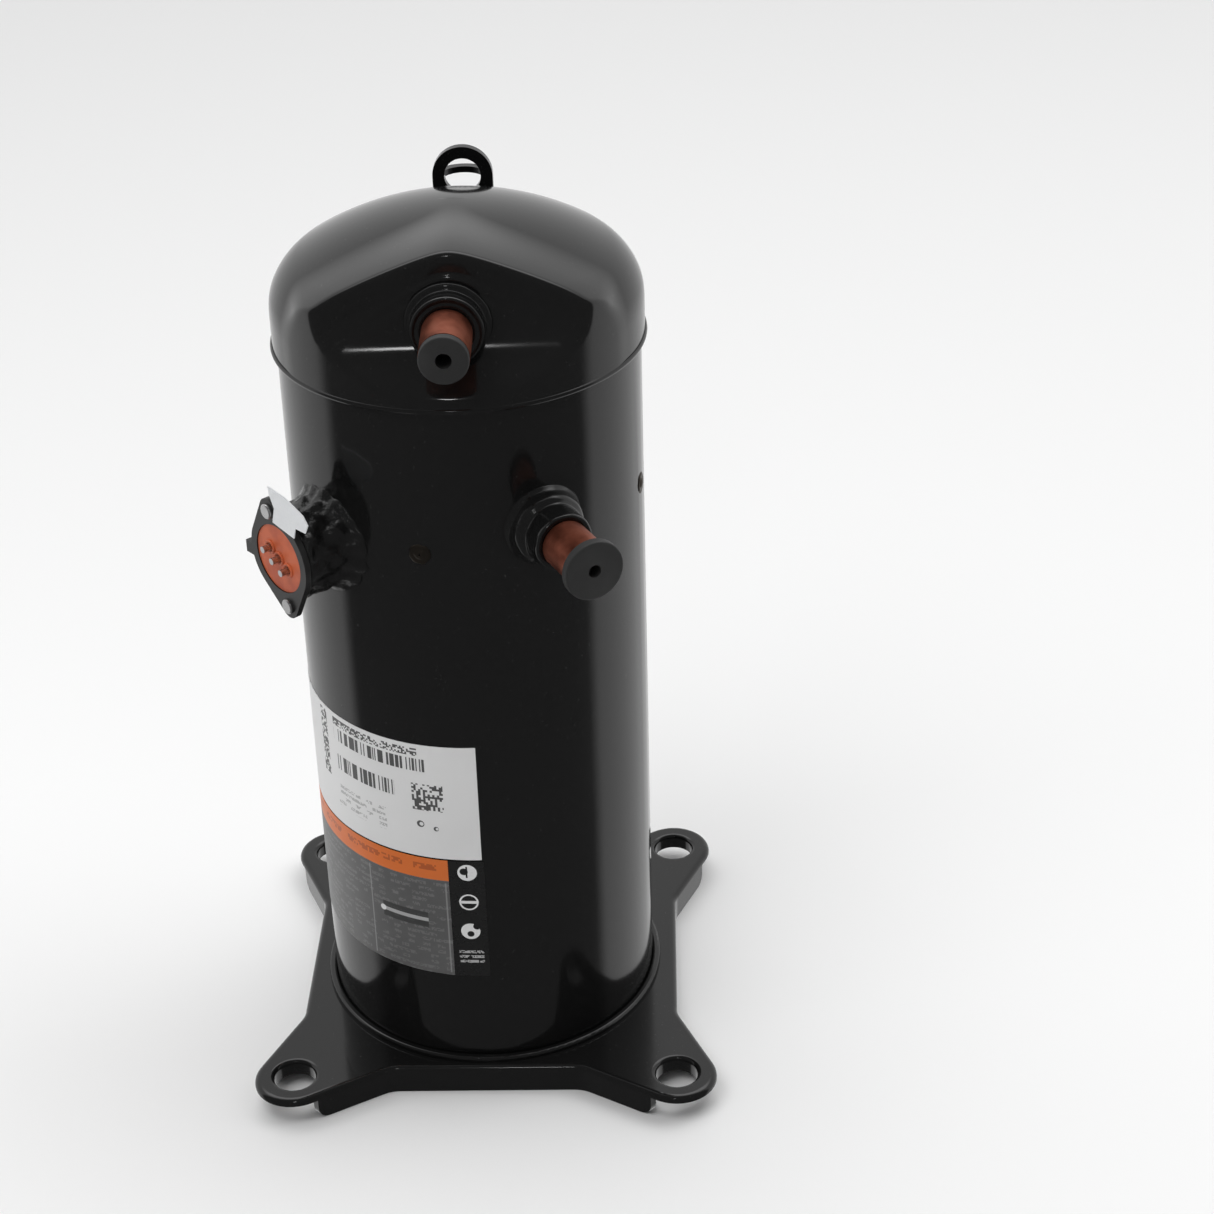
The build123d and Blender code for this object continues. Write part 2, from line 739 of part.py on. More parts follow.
def stator_winding():
    """Copper in every slot, joined by the two end turns."""
    winding = Part()
    for low, high in ((stator_z[0] - winding_h, stator_z[0]), (stator_z[1], stator_z[1] + winding_h)):
        turns = tube(winding_r[1], winding_r[0], low, high)
        winding += fillet(turns.edges().group_by(Axis.Z)[0 if high == stator_z[0] else -1], winding_edge_r)
    bar = block(
        (slot_start_r + slot_lining, slot_start_r + slot_depth - slot_lining),
        (slot_lining - slot_w / 2, slot_w / 2 - slot_lining),
        stator_z,
    )
    for n in range(stator_slots):
        winding += Rot(0, 0, 360 / stator_slots * n) * bar
    return winding


def motor_protector():
    x, y = polar((winding_r[0] + winding_r[1]) / 2, protector_azimuth)
    top = stator_z[1] + winding_h
    can = cylinder(protector_r, top, top + protector_h)
    return Pos(x, y) * fillet(can.edges().group_by(Axis.Z)[-1], protector_edge_r)


def motor_leads():
    """Three leads rise from the end turns to the underside of the block on the pins."""
    top_z = terminal_z - cluster_block[0] / 2
    low_z = stator_z[1] + winding_h
    top_r = terminal_face_r - terminal_body_t - cluster_block[2] / 2
    leads = []
    heights = [low_z + (top_z - low_z) * share for share in lead_bends]
    for n in (-1, 0, 1):
        side = n * lead_spacing
        points = [
            (lead_start_r, side * lead_gather, low_z),
            (lead_start_r, side * lead_gather, heights[0]),
            (top_r, side, heights[1]),
            (top_r, side, top_z),
        ]
        path = FilletPolyline(*points, radius=lead_bend_r)
        lead = sweep(Plane(origin=points[0], z_dir=(0, 0, 1)) * Circle(lead_r), path=path)
        leads.append(Rot(0, 0, terminal_azimuth) * lead)
    return Compound(leads)


def rotor_core():
    return tube(rotor_r, rotor_seat_r, *stator_z)


def rotor_end_rings():
    outer = rotor_r - end_ring_step
    low, high = stator_z
    rings = [
        tube(outer, outer - end_ring_w, low - end_ring_h, low),
        tube(outer, outer - end_ring_w, high, high + end_ring_h),
    ]
    return Compound(rings)


def half_ring(outer, inner, low, high, side):
    return tube(outer, inner, low, high) & block(
        (0, side * outer) if side > 0 else (side * outer, 0), (-outer, outer), (low, high)
    )


def upper_counterweight():
    low, high = upper_counterweight_z
    weight = tube(rotor_seat_r + counterweight_hub_wall, rotor_seat_r, low, high)
    return weight + half_ring(counterweight_r, rotor_seat_r + counterweight_lap, low, high, -1)


def lower_counterweight():
    high = stator_z[0] - end_ring_h
    low = high - lower_counterweight_h
    return half_ring(counterweight_r, rotor_seat_r + counterweight_lap, low, high, 1)


def crankshaft():
    rotor_low = lower_bearing_z[1] + seat_gap
    rotor_high = housing_bottom_z - seat_gap
    shaft = cylinder(lower_journal_r, shaft_bottom_z, rotor_low)
    shaft += cylinder(rotor_seat_r, rotor_low, rotor_high)
    shaft += cylinder(main_journal_r, rotor_high, recess_floor)
    shaft += Pos(orbit_r, 0) * cylinder(crank_pin_r, recess_floor, pin_top)
    return shaft - Pos(orbit_r - oil_hole_inset, 0) * cylinder(oil_hole_r, shaft_bottom_z - past, pin_top + past)


def drive_bushing():
    """Turns with the crank pin and can give way inwards along the crank's throw."""
    low = recess_floor + bushing_rest
    bore_r = crank_pin_r + journal_gap
    bore = Pos(orbit_r, 0) * cylinder(bore_r, low - 1, pin_top + 1)
    bore += Pos(orbit_r + bushing_travel, 0) * cylinder(bore_r, low - 1, pin_top + 1)
    bore += block((orbit_r, orbit_r + bushing_travel), (-bore_r, bore_r), (low - 1, pin_top + 1))
    return Pos(orbit_r, 0) * cylinder(drive_bushing_r, low, pin_top - bushing_step) - bore


def hub_bush():
    low, high = thrust_z + thrust_gap - hub_h, thrust_z + thrust_gap - hub_chamber
    return Pos(orbit_r, 0) * tube(hub_bore_r, drive_bushing_r + journal_gap, low, high)


def scroll_wrap(low, high):
    """Half-circle walls about two centres, each one step wider, so both flanks are true arcs."""
    wall = Part()
    for n in range(wrap_half_turns):
        side = 1 if n % 2 == 0 else -1
        mean = half_turn_step * (n + 1)
        reach = mean + wrap_t
        half = block((-reach, reach), (0, reach) if side > 0 else (-reach, 0), (low, high))
        turn = tube(mean + wrap_t / 2, mean - wrap_t / 2, low, high) & half
        wall += Pos(-side * half_turn_step / 2, 0) * turn
    return wall


def orbiting_scroll():
    low = thrust_z + thrust_gap
    plate = cylinder(orbiter_r, low, orbiter_top)
    key_depth = oldham_key_h + key_end_gap
    slot_half_w = oldham_key_w / 2 + key_gap + 2 * orbit_r
    slot_start = oldham_r[0] - orbit_r - key_inset
    for side in (-1, 1):
        ends = sorted((side * slot_start, side * (orbiter_r + 1)))
        plate -= block((-slot_half_w, slot_half_w), ends, (low - 1, low + key_depth))
    plate += tube(hub_r, hub_bore_r, low - hub_h, low)
    plate += Rot(0, 0, 180) * scroll_wrap(orbiter_top, wrap_floor - wrap_gap)
    return Pos(orbit_r, 0) * plate


def oldham_ring():
    """A flat ring with two keys down, along X, and two keys up, along Y."""
    ring = tube(oldham_r[1], oldham_r[0], oldham_low, thrust_z)
    half = oldham_key_w / 2
    for side in (-1, 1):
        ends = sorted((side * (oldham_r[0] + key_inset), side * (oldham_r[1] - key_inset)))
        ring += block(ends, (-half, half), (oldham_low - oldham_key_h, oldham_low))
        ring += block((-half, half), ends, (thrust_z, thrust_z + oldham_key_h))
    return Pos(orbit_r, 0) * ring


def fixed_scroll():
    rim = orbiter_top + wrap_gap
    scroll = cylinder(fixed_r, rim, fixed_top) - cylinder(fixed_cavity_r, rim - 1, wrap_floor)
    ear_high = ear_low + scroll_ear_t
    for azimuth in housing_leg_azimuths:
        at = Rot(0, 0, azimuth) * Pos(post_circle_r, 0)
        scroll -= at * cylinder(post_r + scroll_pocket_gap, rim - 1, ear_low)
        scroll -= at * cylinder(bolt_head_r + scroll_pocket_gap, ear_high, fixed_top + 1)
        scroll += at * cylinder(scroll_ear_r, ear_low, ear_high) - cylinder(
            fixed_cavity_r, rim, wrap_floor
        )
        scroll -= at * cylinder(post_r + sleeve_gap, ear_low - 1, ear_high + 1)
    for azimuth in (suction_azimuth, suction_azimuth + 180):
        half = suction_window_w / 2
        heights = (rim + suction_window_sill, wrap_floor - suction_window_lintel)
        window = block((fixed_cavity_r - past, fixed_r + past), (-half, half), heights)
        scroll -= Rot(0, 0, azimuth) * window
    scroll -= Pos(discharge_port_x, 0) * cylinder(discharge_port_r, wrap_floor - 1, fixed_top + 1)
    scroll -= tube(seal_r[1] + seal_gap, seal_r[0] - seal_gap, fixed_top - seal_recess, fixed_top + 1)
    return scroll + scroll_wrap(rim, wrap_floor)


def floating_seal():
    low = fixed_top - seal_recess + seal_gap
    lip_top = shell_top - 2 * float_travel - seal_lip_gap
    seal = tube(seal_r[1], seal_r[0], low, low + seal_body_h)
    return seal + tube(seal_lip_r, seal_r[0], low, lip_top)


def main_bearing_housing():
    step_z = oldham_low - housing_step
    hub_outer = main_journal_r + journal_gap + bush_wall + housing_hub_wall
    body = cylinder(housing_body_r, recess_floor - housing_floor_t, step_z)
    body += cylinder(thrust_land_r, step_z, thrust_z)
    body += cylinder(hub_outer, housing_bottom_z, recess_floor)
    for azimuth in housing_leg_azimuths:
        leg = block(
            (housing_body_r - housing_leg_root, shell_bore_r + past),
            (-housing_leg_w / 2, housing_leg_w / 2),
            housing_leg_z,
        )
        post = Pos(post_circle_r, 0) * cylinder(post_r, housing_leg_z[1] - 1, ear_low)
        body += Rot(0, 0, azimuth) * (leg + post)
        bolt_hole = Pos(post_circle_r, 0) * cylinder(bolt_r, ear_low - bolt_depth, ear_low + past)
        body -= Rot(0, 0, azimuth) * bolt_hole
    body = body & cylinder(shell_bore_r, housing_bottom_z, ear_low)
    body -= cylinder(hub_r + orbit_r + hub_orbit_gap, recess_floor, thrust_z + past)
    body -= cylinder(main_journal_r + journal_gap + bush_wall, housing_bottom_z - 1, recess_floor + 1)
    half = oldham_key_w / 2 + key_gap
    for side in (-1, 1):
        ends = sorted((side * (oldham_r[0] - orbit_r), side * (housing_body_r + 1)))
        body -= block(ends, (-half, half), (step_z - oldham_key_h - housing_step, step_z + past))
    return body


def main_bush():
    outer = main_journal_r + journal_gap + bush_wall
    return tube(outer, main_journal_r + journal_gap, housing_bottom_z, recess_floor - main_bush_gap)


def scroll_sleeves():
    sleeves = [
        Rot(0, 0, azimuth) * Pos(post_circle_r, 0) * tube(post_r, bolt_r, ear_low, sleeve_top)
        for azimuth in housing_leg_azimuths
    ]
    return Compound(sleeves)


def scroll_bolts():
    bolts = []
    for azimuth in housing_leg_azimuths:
        bolt = cylinder(bolt_r, ear_low - bolt_depth + bolt_end_gap, sleeve_top)
        bolt += Pos(0, 0, sleeve_top) * extrude(RegularPolygon(bolt_head_r, 6), bolt_head_h)
        bolts.append(Rot(0, 0, azimuth) * Pos(post_circle_r, 0) * bolt)
    return Compound(bolts)


def lower_bearing_bracket():
    bush_r = lower_journal_r + journal_gap + bush_wall
    low, high = lower_bearing_z
    foot = shaft_bottom_z - lower_foot_h
    bracket = cylinder(bush_r + housing_hub_wall, foot, high)
    middle = (low + high) / 2
    for n in range(lower_leg_count):
        arm = block(
            (0, shell_bore_r + past),
            (-lower_leg_w / 2, lower_leg_w / 2),
            (middle - lower_leg_t / 2, middle + lower_leg_t / 2),
        )
        bracket += Rot(0, 0, 360 / lower_leg_count * n + lower_leg_azimuth) * arm
    bracket = bracket & cylinder(shell_bore_r, foot, high)
    bracket -= cylinder(bush_r, foot + lower_floor_t, high + past)
    return bracket - cylinder(bush_r - lower_lip_w, foot - past, high)


def lower_bush():
    return tube(
        lower_journal_r + journal_gap + bush_wall,
        lower_journal_r + journal_gap,
        shaft_bottom_z + lower_floor_t,
        lower_bearing_z[1],
    )


def thrust_washer():
    """The shaft's lower end stands on this, and oil enters through its hole."""
    high = shaft_bottom_z - thrust_washer_gap
    return tube(lower_journal_r + journal_gap + bush_wall, thrust_washer_hole_r, high - thrust_washer_t, high)


def oil_magnet():
    """A ring in the sump that catches steel dust."""
    crown = bottom_crown_r - bottom_wall
    reach = bottom_crown_r - bottom_knuckle_r
    centre_z = bottom_knuckle_z + sqrt(reach**2 - (shell_bore_r - bottom_knuckle_r) ** 2)
    low = centre_z - sqrt(crown**2 - magnet_r**2)
    return tube(magnet_r, magnet_bore_r, low, low + magnet_h)


sub_parts = {
    "base_plate": base_plate,
    "bottom_cap": bottom_cap,
    "centre_shell": centre_shell,
    "top_cap": top_cap,
    "lifting_lug": lifting_lug,
    "muffler_plate": muffler_plate,
    "relief_cartridge": relief_cartridge,
    "check_valve_disc": valve_disc,
    "check_valve_retainer": valve_retainer,
    "discharge_fitting": discharge_fitting,
    "discharge_tube": lambda: stub(
        discharge_azimuth, discharge_z, discharge_inner_end, discharge_boss_end, discharge_stub_end
    ),
    "discharge_plug": lambda: stub_plug(
        discharge_azimuth, discharge_z, discharge_stub_end, discharge_plug_r, discharge_plug_hole_r
    ),
    "suction_fitting": suction_fitting,
    "suction_tube": lambda: stub(
        suction_azimuth, suction_z, suction_inner_end, suction_sleeve_end, suction_stub_end
    ),
    "suction_plug": lambda: stub_plug(
        suction_azimuth, suction_z, suction_stub_end, suction_plug_r, suction_plug_hole_r
    ),
    "suction_baffle": suction_baffle,
    "terminal_body": terminal_body,
    "terminal_seals": terminal_seals,
    "terminal_pins": terminal_pins,
    "terminal_fence": terminal_fence,
    "terminal_flange": terminal_flange,
    "terminal_insulator": terminal_insulator,
    "terminal_screws": terminal_screws,
    "terminal_tag": terminal_tag,
    "lead_cluster_plug": cluster_plug,
    "motor_leads": motor_leads,
    "plug_welds": plug_welds,
    "nameplate_label": lambda: label(nameplate_end, nameplate_z),
    "warning_label": lambda: label(warning_end, (warning_body_z[0], warning_header_z[1])),
    "icon_label": lambda: ring_sector(
        shell_r, shell_r + label_t, icon_start, icon_end, (warning_body_z[0], warning_header_z[1])
    ),
    "stator_core": stator_core,
    "stator_winding": stator_winding,
    "motor_protector": motor_protector,
    "rotor_core": rotor_core,
    "rotor_end_rings": rotor_end_rings,
    "upper_counterweight": upper_counterweight,
    "lower_counterweight": lower_counterweight,
    "crankshaft": crankshaft,
    "drive_bushing": drive_bushing,
    "hub_bush": hub_bush,
    "orbiting_scroll": orbiting_scroll,
    "oldham_ring": oldham_ring,
    "fixed_scroll": fixed_scroll,
    "floating_seal": floating_seal,
    "main_bearing_housing": main_bearing_housing,
    "main_bush": main_bush,
    "scroll_sleeves": scroll_sleeves,
    "scroll_bolts": scroll_bolts,
    "lower_bearing_bracket": lower_bearing_bracket,
    "lower_bush": lower_bush,
    "thrust_washer": thrust_washer,
    "oil_magnet": oil_magnet,
}

os.makedirs("parts", exist_ok=True)
for name, make in sub_parts.items():
    export_step(make(), f"parts/{name}.step")
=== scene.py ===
import json
from math import atan2, cos, degrees, hypot, pi, radians, sin, sqrt

import bmesh
import bpy
import numpy as np
from mathutils import Matrix, Vector, noise


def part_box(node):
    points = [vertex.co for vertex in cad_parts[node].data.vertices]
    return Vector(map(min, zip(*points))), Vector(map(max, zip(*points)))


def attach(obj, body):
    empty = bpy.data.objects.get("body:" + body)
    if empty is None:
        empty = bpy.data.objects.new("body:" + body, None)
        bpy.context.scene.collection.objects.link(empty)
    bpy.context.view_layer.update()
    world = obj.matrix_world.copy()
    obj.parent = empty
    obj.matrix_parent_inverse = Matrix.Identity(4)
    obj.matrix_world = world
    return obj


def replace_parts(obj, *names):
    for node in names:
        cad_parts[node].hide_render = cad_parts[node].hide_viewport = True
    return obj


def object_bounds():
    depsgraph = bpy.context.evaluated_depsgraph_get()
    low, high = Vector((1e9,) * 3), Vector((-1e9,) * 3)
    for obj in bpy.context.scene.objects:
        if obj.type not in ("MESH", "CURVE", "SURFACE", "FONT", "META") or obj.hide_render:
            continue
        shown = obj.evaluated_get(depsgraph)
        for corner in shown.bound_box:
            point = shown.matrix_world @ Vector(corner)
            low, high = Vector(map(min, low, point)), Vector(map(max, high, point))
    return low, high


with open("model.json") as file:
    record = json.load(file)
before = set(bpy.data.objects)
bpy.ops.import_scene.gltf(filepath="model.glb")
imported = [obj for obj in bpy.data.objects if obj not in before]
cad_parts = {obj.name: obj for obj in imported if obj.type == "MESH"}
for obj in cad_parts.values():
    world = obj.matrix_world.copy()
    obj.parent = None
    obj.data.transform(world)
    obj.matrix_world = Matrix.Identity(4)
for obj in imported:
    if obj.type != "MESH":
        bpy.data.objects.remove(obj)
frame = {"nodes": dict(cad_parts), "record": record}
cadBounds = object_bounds()
nodes = frame["nodes"]
shellLow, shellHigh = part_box("centre_shell")
shellR = (shellHigh.x - shellLow.x) / 2
print("frame loaded with", len(nodes), "CAD nodes")


# camera, light and floor

shot = {
    "at": (0.09357, -1.0525, 0.82978),
    "turn": 1.593,  # degrees to the left
    "tilt": 30.254,  # degrees down
    "roll": -1.588,
    "lens": 74.14,  # millimetres
    "sensor": 36,
}


def makeCamera():
    data = bpy.data.cameras.new("camera")
    data.lens = shot["lens"]
    data.sensor_width = shot["sensor"]
    camera = bpy.data.objects.new("camera", data)
    bpy.context.collection.objects.link(camera)
    turn = Matrix.Rotation(radians(shot["turn"]), 4, "Z")
    tilt = Matrix.Rotation(radians(90 - shot["tilt"]), 4, "X")
    roll = Matrix.Rotation(radians(shot["roll"]), 4, "Z")
    camera.matrix_world = Matrix.Translation(shot["at"]) @ turn @ tilt @ roll
    bpy.context.scene.camera = camera


makeCamera()
bpy.context.scene.view_settings.view_transform = "Standard"


class Wire:  # one socket, so that sums on it add their Math nodes
    def __init__(self, tree, socket):
        self.tree = tree
        self.socket = socket

    def sum(self, operation, *values):
        node = self.tree.nodes.new("ShaderNodeMath")
        node.operation = operation
        for place, value in zip(node.inputs, values):
            feed(self.tree, place, value)
        return Wire(self.tree, node.outputs[0])

    def __add__(self, other):
        return self.sum("ADD", self, other)

    def __sub__(self, other):
        return self.sum("SUBTRACT", self, other)

    def __rsub__(self, other):
        return self.sum("SUBTRACT", other, self)

    def __mul__(self, other):
        return self.sum("MULTIPLY", self, other)

    def __truediv__(self, other):
        return self.sum("DIVIDE", self, other)

    def __pow__(self, other):
        return self.sum("POWER", self, other)

    def __mod__(self, other):
        return self.sum("FLOORED_MODULO", self, other)

    def __gt__(self, other):
        return self.sum("GREATER_THAN", self, other)

    def __lt__(self, other):
        return self.sum("LESS_THAN", self, other)

    def __abs__(self):
        return self.sum("ABSOLUTE", self)

    __rmul__ = __mul__

    def floor(self):
        return self.sum("FLOOR", self)

    def root(self):
        return self.sum("SQRT", self)

    def atMost(self, limit):
        return self.sum("MINIMUM", self, limit)

    def turnFrom(self, across):  # the angle of the point (across, self), in radians
        return self.sum("ARCTAN2", self, across)


def feed(tree, place, value):
    if isinstance(value, Wire):
        tree.links.new(value.socket, place)
    elif value is not None:
        place.default_value = value


class Finish:  # a node tree in the making, for a material or the world
    def __init__(self, owner):
        self.owner = owner
        owner.use_nodes = True
        self.tree = owner.node_tree
        self.tree.nodes.clear()

    def node(self, kind, settings=None, sockets=None, out=0):
        made = self.tree.nodes.new("ShaderNode" + kind)
        for name, value in (settings or {}).items():
            if name == "stops":
                ramp = made.color_ramp
                while len(ramp.elements) < len(value):
                    ramp.elements.new(1)
                for stop, (at, colour) in zip(ramp.elements, value):
                    stop.position = at
                    stop.color = colour
            else:
                setattr(made, name, value)
        for name, value in (sockets or {}).items():
            feed(self.tree, made.inputs[name], value)
        return Wire(self.tree, made.outputs[out]) if made.outputs else made

    def place(self, out="Object"):
        return self.node("TexCoord", out=out)

    def axes(self, vector):
        return [self.node("SeparateXYZ", sockets={"Vector": vector}, out=n) for n in range(3)]

    def noise(self, scale, detail, roughness=0.5, stretch=None):
        vector = self.place()
        if stretch:
            vector = self.node("VectorMath", {"operation": "MULTIPLY"}, {0: vector, 1: stretch})
        sockets = {"Vector": vector, "Scale": scale, "Detail": detail, "Roughness": roughness}
        return self.node("TexNoise", sockets=sockets)

    def step(self, value, low, high):
        limits = {"Value": value, "From Min": low, "From Max": high}
        return self.node("MapRange", {"interpolation_type": "SMOOTHSTEP"}, limits)

    def mix(self, factor, first, second):
        return self.node("Mix", {"data_type": "RGBA"}, {0: factor, 6: first, 7: second}, out=2)

    def bump(self, height, distance, strength=1.0, under=None):
        sockets = {"Height": height, "Distance": distance, "Strength": strength, "Normal": under}
        return self.node("Bump", sockets=sockets)

    def shade(self, **sockets):
        named = {name.replace("_", " "): value for name, value in sockets.items()}
        shader = self.node("BsdfPrincipled", sockets=named)
        self.node("OutputMaterial", sockets={"Surface": shader})
        return self.owner


def grey(level, warmth=0.0):
    return (level * (1 + warmth), level, level * (1 - warmth), 1)


studio = {
    "back": 0.80,  # the pale sweep behind the object
    "front": 0.13,  # the dark room in front of it
    "backFrom": (-0.12, 0.06),  # depths of view between which dark turns pale
    "ceiling": 2.4,
    "ceilingRise": (0.66, 0.82),  # heights of view between which it comes in
    "ceilingDepth": (0.05, 0.3),
    "floor": 0.86,
    "floorSize": 16.0,
    "floorRoughness": 0.9,
    "floorGap": 0.0002,
}
sparkSize = 0.11  # the small lamp lights the thin edges
lamps = (  # name, place, height it aims at, size, power, whether shiny paint shows it
    ("keyLight", (-0.9, -0.9, 2.4), 0.2, 1.6, 26.0, False),
    ("fillLight", (1.6, 0.4, 2.2), 0.2, 1.8, 15.6, False),
    ("sparkLight", (-0.07, -1.35, 1.25), 0.38, sparkSize, 16.0 * pi * sparkSize**2, True),
)


def makeSky():
    world = bpy.data.worlds.new("studio")
    bpy.context.scene.world = world
    air = Finish(world)
    x, y, z = air.axes(air.place("Generated"))
    behind = air.step(y, *studio["backFrom"])
    above = air.step(z, *studio["ceilingRise"]) * air.step(y, *studio["ceilingDepth"])
    light = (studio["back"] - studio["front"]) * behind + studio["front"]
    light = light * (1 - above) + above * studio["ceiling"]
    sky = air.node("Background", sockets={"Color": grey(1), "Strength": light})
    air.node("OutputWorld", sockets={"Surface": sky})


def makeFloor():
    mesh = bpy.data.meshes.new("floor")
    half = studio["floorSize"] / 2
    low = cadBounds[0].z - studio["floorGap"]
    corners = [(-half, -half, low), (half, -half, low), (half, half, low), (-half, half, low)]
    mesh.from_pydata(corners, [], [(0, 1, 2, 3)])
    ground = bpy.data.objects.new("floor", mesh)
    bpy.context.collection.objects.link(ground)
    paper = Finish(bpy.data.materials.new("floorPaper"))
    mesh.materials.append(
        paper.shade(Base_Color=grey(studio["floor"]), Roughness=studio["floorRoughness"])
    )
    ground.visible_glossy = False


def addLamp(name, at, aim, size, power, glossy):
    data = bpy.data.lights.new(name, "AREA")
    data.size = size
    data.energy = power
    lamp = bpy.data.objects.new(name, data)
    lamp.location = at
    lamp.rotation_mode = "QUATERNION"
    way = Vector((0, 0, aim)) - lamp.location
    lamp.rotation_quaternion = way.to_track_quat("-Z", "Y")
    lamp.visible_glossy = glossy
    bpy.context.collection.objects.link(lamp)


makeSky()
makeFloor()
for lamp in lamps:
    addLamp(*lamp)
print("camera, light and floor made")


# finishes, each with its values in a dictionary beside it

def newFinish(name):
    return Finish(bpy.data.materials.new(name))


blackEnamel = {
    "colour": 0.0075,
    "dust": 0.09,
    "roughness": 0.09,
    "hazeRoughness": 0.05,
    "dustRoughness": 0.25,
    "peel": 240.0,
    "peelHeight": 0.00002,
    "dent": 9.0,
    "dentHeight": 0.0006,
    "speck": 900,
    "haze": 14,
}


def makeBlackEnamel():
    plan = blackEnamel
    paint = newFinish("blackEnamel")
    peel = paint.noise(plan["peel"], 2)
    dents = paint.noise(plan["dent"], 1)
    dust = paint.step(paint.noise(plan["speck"], 2, 0.6), 0.66, 0.8)
    haze = paint.step(paint.noise(plan["haze"], 3), 0.35, 0.75)
    colour = paint.mix(dust * 0.35, grey(plan["colour"]), grey(plan["dust"], 0.04))
    relief = paint.bump(dents, plan["dentHeight"])
    relief = paint.bump(peel, plan["peelHeight"], 0.6, relief)
    rough = haze * plan["hazeRoughness"] + dust * plan["dustRoughness"] + plan["roughness"]
    return paint.shade(Base_Color=colour, Roughness=rough, IOR=1.5, Normal=relief)


copper = {
    "stops": [
        (0.3, (0.16, 0.045, 0.026, 1)),  # tarnished
        (0.55, (0.40, 0.125, 0.075, 1)),
        (0.75, (0.52, 0.2, 0.13, 1)),  # bright
    ],
    "metallic": 0.85,
    "roughness": 0.27,
    "stainRoughness": 0.25,
    "drawHeight": 0.00005,
}


def makeCopper():
    metal = newFinish("copperPipe")
    stain = metal.noise(60, 4, 0.6)
    drawn = metal.noise(90, 3, 0.6, stretch=(1, 1, 6))
    colour = metal.node("ValToRGB", {"stops": copper["stops"]}, {"Fac": stain})
    return metal.shade(
        Base_Color=colour,
        Metallic=copper["metallic"],
        Roughness=stain * copper["stainRoughness"] + copper["roughness"],
        Normal=metal.bump(drawn, copper["drawHeight"], 0.5),
    )


rubberPlug = {"grey": 0.028, "bloom": 2.2, "grain": 1400, "grainHeight": 0.00006, "roughness": 0.55}


def makeRubber():
    plan = rubberPlug
    rubber = newFinish("plugRubber")
    grain = rubber.noise(plan["grain"], 3)
    bloom = rubber.step(rubber.noise(40, 3), 0.4, 0.8)
    colour = rubber.mix(bloom * 0.5, grey(plan["grey"]), grey(plan["grey"] * plan["bloom"]))
    relief = rubber.bump(grain, plan["grainHeight"], 0.5)
    return rubber.shade(Base_Color=colour, Roughness=bloom * 0.1 + plan["roughness"], Normal=relief)


def makeMoulding(name, colour, dark, roughness):
    plastic = newFinish(name)
    flow = plastic.noise(70, 3)
    grain = plastic.noise(1500, 1)
    return plastic.shade(
        Base_Color=plastic.mix(plastic.step(flow, 0.35, 0.7), colour, dark),
        Roughness=flow * 0.15 + roughness,
        Normal=plastic.bump(grain, 0.00002, 0.4),
    )


def makeMetal(name, light, dark, roughness, grain=600, height=0.00003, stretch=None):
    metal = newFinish(name)
    marks = metal.noise(grain, 4, 0.65, stretch=stretch)
    tarnish = metal.noise(45, 3)
    return metal.shade(
        Base_Color=metal.mix(metal.step(tarnish, 0.3, 0.75), light, dark),
        Metallic=1.0,
        Roughness=marks * 0.2 + roughness,
        Normal=metal.bump(marks, height, 0.6),
    )


lamination = {"sheet": 0.001, "light": 0.32, "dark": 0.07, "groove": 0.0001}


def makeLamination():
    plan = lamination
    steel = newFinish("lamination")
    x, y, z = steel.axes(steel.place())
    sheet = abs((z % plan["sheet"]) / (plan["sheet"] / 2) - 1)
    edge = steel.step(sheet, 0.6, 1.0)
    return steel.shade(
        Base_Color=steel.mix(edge, grey(plan["light"]), grey(plan["dark"])),
        Metallic=0.9,
        Roughness=edge * 0.3 + 0.35,
        Normal=steel.bump(1 - edge, plan["groove"]),
    )


winding = {
    "strands": 160.0,
    "strandHeight": 0.0004,
    "light": (0.42, 0.12, 0.035, 1),
    "dark": (0.25, 0.06, 0.02, 1),
    "roughness": 0.3,
    "coat": 0.6,
}


def makeWinding():
    coil = newFinish("windingEnamel")
    sockets = {"Vector": coil.place(), "Scale": winding["strands"], "Distortion": 1.5, "Detail": 1.0}
    strand = coil.node("TexWave", {"bands_direction": "Z"}, sockets, out=1)
    tone = coil.noise(50, 3)
    return coil.shade(
        Base_Color=coil.mix(coil.step(tone, 0.3, 0.7), winding["light"], winding["dark"]),
        Roughness=winding["roughness"],
        Coat_Weight=winding["coat"],
        Normal=coil.bump(strand, winding["strandHeight"]),
    )


tagPaper = {
    "dark": (0.74, 0.76, 0.78, 1),
    "light": (0.86, 0.87, 0.88, 1),
    "fibre": 900,
    "fibreHeight": 0.00004,
    "crease": 120,
    "creaseHeight": 0.0002,
    "roughness": 0.8,
}


def makePaper():
    plan = tagPaper
    paper = newFinish("tagPaper")
    fibre = paper.noise(plan["fibre"], 4, 0.7)
    crease = paper.noise(plan["crease"], 2)
    relief = paper.bump(fibre, plan["fibreHeight"], 0.5)
    relief = paper.bump(crease, plan["creaseHeight"], 0.5, relief)
    colour = paper.mix(fibre, plan["dark"], plan["light"])
    return paper.shade(Base_Color=colour, Roughness=plan["roughness"], Normal=relief)


blackSealant = {
    "colour": 0.008,
    "lump": 420,
    "lumpHeight": 0.0006,
    "ripple": 1400,
    "rippleHeight": 0.00008,
    "roughness": 0.1,
    "lumpRoughness": 0.12,
}


